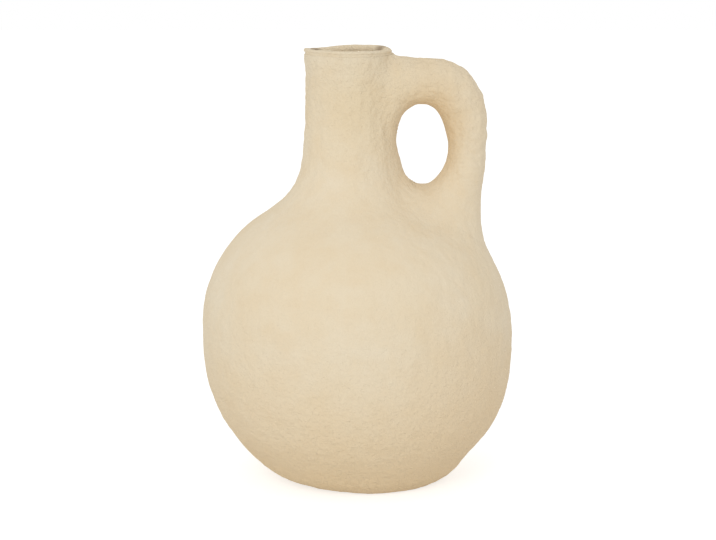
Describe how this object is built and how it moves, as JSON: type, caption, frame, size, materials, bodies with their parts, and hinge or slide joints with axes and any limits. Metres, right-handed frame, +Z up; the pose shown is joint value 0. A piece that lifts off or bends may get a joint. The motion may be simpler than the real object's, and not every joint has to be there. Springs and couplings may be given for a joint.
{
  "type": "one-handled clay jug",
  "caption": "Round-bellied, hand-built clay jug of lekythos form with a flat foot, a straight narrow neck, a thin lip and a thick loop handle from neck to shoulder.",
  "frame": {"origin": "on the floor, under the middle of the belly at its widest line", "axes": "+Z up, out of the mouth; +X towards the handle; the jug is mirror-symmetric across the plane Y = 0"},
  "size_m": [0.2153, 0.2152, 0.3],
  "materials": {
    "fired_clay": "matte, unglazed, hand-smoothed"
  },
  "bodies": {
    "root": {"base_slab": "fired_clay", "belly_lower": "fired_clay", "belly_middle": "fired_clay", "belly_upper": "fired_clay", "shoulder": "fired_clay", "neck_lower": "fired_clay", "neck_upper": "fired_clay", "rim_lip": "fired_clay", "handle_arch": "fired_clay", "handle_upper_root": "fired_clay", "handle_lower_root": "fired_clay"}
  },
  "joints": []
}
